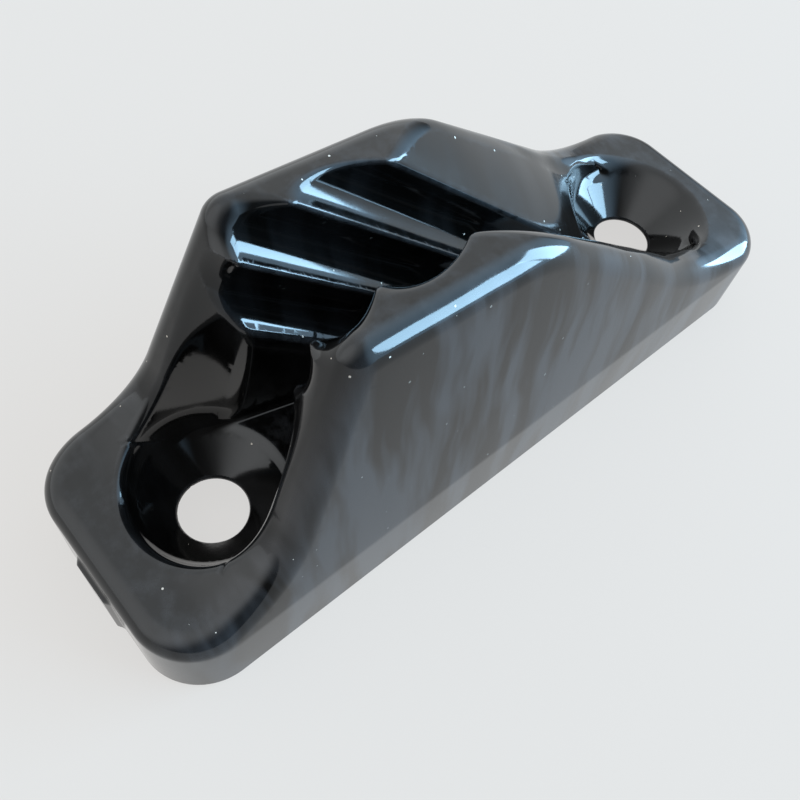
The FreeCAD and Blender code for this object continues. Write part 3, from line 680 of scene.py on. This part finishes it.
# Soft lights of the room: turn and height of the middle in degrees, where the light is
# full and where it ends, in degrees from the middle, how bright it is, and its colour.
ROOM_LIGHTS = (
    (112, 42, 55, 100, 1.5, (0.94, 0.98, 1.0)),
    (-38, 20, 24, 60, 3.0, (0.48, 0.74, 1.0)),
    (178, 38, 12, 42, 0.6, (0.96, 0.97, 1.0)),
)
ROOM_SHADE = (0.08, 0.08, 0.08)
# Panes of the window: turn and height of the middle, half width and half height, in degrees.
WINDOW_PANES = ((-49, 22, 11.5, 13), (-23.5, 19, 11.5, 17))
WINDOW_DISTANCE = 1.2
FLOOR_HALF = 2.0
PAPER = (0.07, 0.065, 0.06)
PAPER_GLOW = (1, 0.99, 0.975)
# The camera's sensor in millimetres, its lens shift in sensor widths, and how near and far it sees.
SENSOR_WIDTH = 36
LENS_SHIFT = (0.0061425, 0.0250479)
NEAREST, FARTHEST = 0.001, 20


def towards(turn, height):
    """The direction at this turn round the cleat and this height, in degrees."""
    turn, height = math.radians(turn), math.radians(height)
    return Vector((math.cos(height) * math.cos(turn), math.cos(height) * math.sin(turn), math.sin(height)))


def soft_room(scene):
    """Soft light from all round, brighter where the room's lights are."""
    scene.world = bpy.data.worlds.new("studio")
    nodes = Nodes(scene.world)
    outward = nodes.add("ShaderNodeTexCoord").outputs["Generated"]
    total = ROOM_SHADE
    for turn, height, full, end, strength, colour in ROOM_LIGHTS:
        sides = {0: outward, 1: towards(turn, height)}
        near = nodes.add("ShaderNodeVectorMath", sides, operation="DOT_PRODUCT").outputs["Value"]
        start, stop = math.cos(math.radians(end)), math.cos(math.radians(full))
        light = nodes.fade(near, start, stop, 0, strength, "SMOOTHSTEP")
        total = nodes.vector("MULTIPLY_ADD", colour, light, total)
    nodes.fill(nodes.tree.nodes["Background"].inputs["Color"], total)


def window_pane(scene, number, pane, sizes):
    """A square soft light, seen as a bright pane in the gloss."""
    turn, height, *half_angles = pane
    width, depth = [2 * WINDOW_DISTANCE * math.tan(math.radians(half)) for half in half_angles]
    light = bpy.data.lights.new("window_pane_%d" % number, "AREA")
    light.shape = "RECTANGLE"
    light.size, light.size_y = width, depth
    light.energy = sizes.window_brightness * math.pi * width * depth
    light.color = sizes.window_colour
    lamp = bpy.data.objects.new(light.name, light)
    scene.collection.objects.link(lamp)
    lamp.location = towards(turn, height) * WINDOW_DISTANCE
    lamp.rotation_euler = (-lamp.location).to_track_quat("-Z", "Y").to_euler()


def pale_floor(scene, sizes):
    """A plain pale sheet, lit mostly by its own glow so that it also shows through the holes."""
    corners = [(x * FLOOR_HALF, y * FLOOR_HALF, 0) for x, y in ((-1, -1), (1, -1), (1, 1), (-1, 1))]
    mesh = bpy.data.meshes.new("floor")
    mesh.from_pydata(corners, [], [(0, 1, 2, 3)])
    floor = bpy.data.objects.new("floor", mesh)
    scene.collection.objects.link(floor)
    paper = bpy.data.materials.new("paper")
    nodes = Nodes(paper)
    look = {"Base Color": (*PAPER, 1), "Roughness": 0.8, "Specular IOR Level": 0.1,
            "Emission Color": (*PAPER_GLOW, 1), "Emission Strength": sizes.floor_glow}
    for name, value in look.items():
        nodes.fill(nodes.tree.nodes["Principled BSDF"].inputs[name], value)
    mesh.materials.append(paper)


def set_camera(scene, sizes):
    """The camera at the photograph's viewing angle."""
    camera = bpy.data.objects.new("camera", bpy.data.cameras.new("camera"))
    scene.collection.objects.link(camera)
    camera.location = sizes.camera_place
    camera.rotation_euler = Euler(sizes.camera_turn, "XYZ")
    camera.data.sensor_width, camera.data.lens = SENSOR_WIDTH, sizes.camera_lens
    camera.data.shift_x, camera.data.shift_y = LENS_SHIFT
    camera.data.clip_start, camera.data.clip_end = NEAREST, FARTHEST
    scene.camera = camera


class CLEAT_OT_mould_body(bpy.types.Operator):
    """Mould the body with its edges rounded, and give it its nylon"""

    bl_idname = "cleat.mould_body"
    bl_label = "Mould the body"

    def execute(self, context):
        sizes = context.scene.moulding_sizes
        solid = Moulding(sizes)
        low, high = [np.array(corner) for corner in (CAD_LOW, CAD_HIGH)]
        points, quads = net(solid, low, high, sizes.mesh_step)
        points = relax(solid, solid.pull(points, times=4), quads, times=3)
        points = solid.pull(points, times=3)
        triangles, normals = cut_quads(points, quads), solid.normals(points)
        for turn, shortest in SPLIT_ROUNDS:
            points, triangles, normals = split_edges(
                solid, points, triangles, normals, math.radians(turn), shortest)
        points = np.clip(solid.pull(points, times=2), low, high)
        mesh = bpy.data.meshes.new("cleat_moulding")
        mesh.from_pydata(points.tolist(), [], triangles.tolist())
        mesh.polygons.foreach_set("use_smooth", np.ones(len(triangles), bool))
        mesh.normals_split_custom_set_from_vertices(solid.normals(points).tolist())
        sharpness = mesh.attributes.new("sharpness", "FLOAT", "POINT")
        sharpness.data.foreach_set("value", solid.sharpness(points))
        mesh.materials.append(nylon(context.scene.nylon_sizes))
        body = bpy.data.objects.new("cleat_moulding", mesh)
        context.scene.collection.objects.link(body)
        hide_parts("cleat_body")
        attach(body, "root")
        return {"FINISHED"}


class CLEAT_OT_stage(bpy.types.Operator):
    """Lay the floor and set the lights and the camera"""

    bl_idname = "cleat.stage"
    bl_label = "Set the studio"

    def execute(self, context):
        scene, sizes = context.scene, context.scene.studio_sizes
        pale_floor(scene, sizes)
        soft_room(scene)
        for number, pane in enumerate(WINDOW_PANES):
            window_pane(scene, number, pane, sizes)
        set_camera(scene, sizes)
        scene.view_settings.view_transform = "Standard"
        return {"FINISHED"}


class CLEAT_PT_panel(bpy.types.Panel):
    """Lists the cleat's piece and its studio"""

    bl_label = "Jam Cleat"
    bl_idname = "CLEAT_PT_panel"
    bl_space_type = "VIEW_3D"
    bl_region_type = "UI"
    bl_category = "Jam Cleat"

    def draw(self, context):
        layout = self.layout
        layout.operator("cleat.mould_body")
        layout.operator("cleat.stage")


CLASSES = (MouldingSizes, NylonSizes, StudioSizes, CLEAT_OT_mould_body, CLEAT_OT_stage, CLEAT_PT_panel)


def register():
    for cls in CLASSES:
        bpy.utils.register_class(cls)
    bpy.types.Scene.moulding_sizes = PointerProperty(type=MouldingSizes)
    bpy.types.Scene.nylon_sizes = PointerProperty(type=NylonSizes)
    bpy.types.Scene.studio_sizes = PointerProperty(type=StudioSizes)


def unregister():
    del bpy.types.Scene.studio_sizes
    del bpy.types.Scene.nylon_sizes
    del bpy.types.Scene.moulding_sizes
    for cls in reversed(CLASSES):
        bpy.utils.unregister_class(cls)


def main():
    register()
    bpy.ops.cleat.mould_body()
    bpy.ops.cleat.stage()


if __name__ == "__main__":
    main()
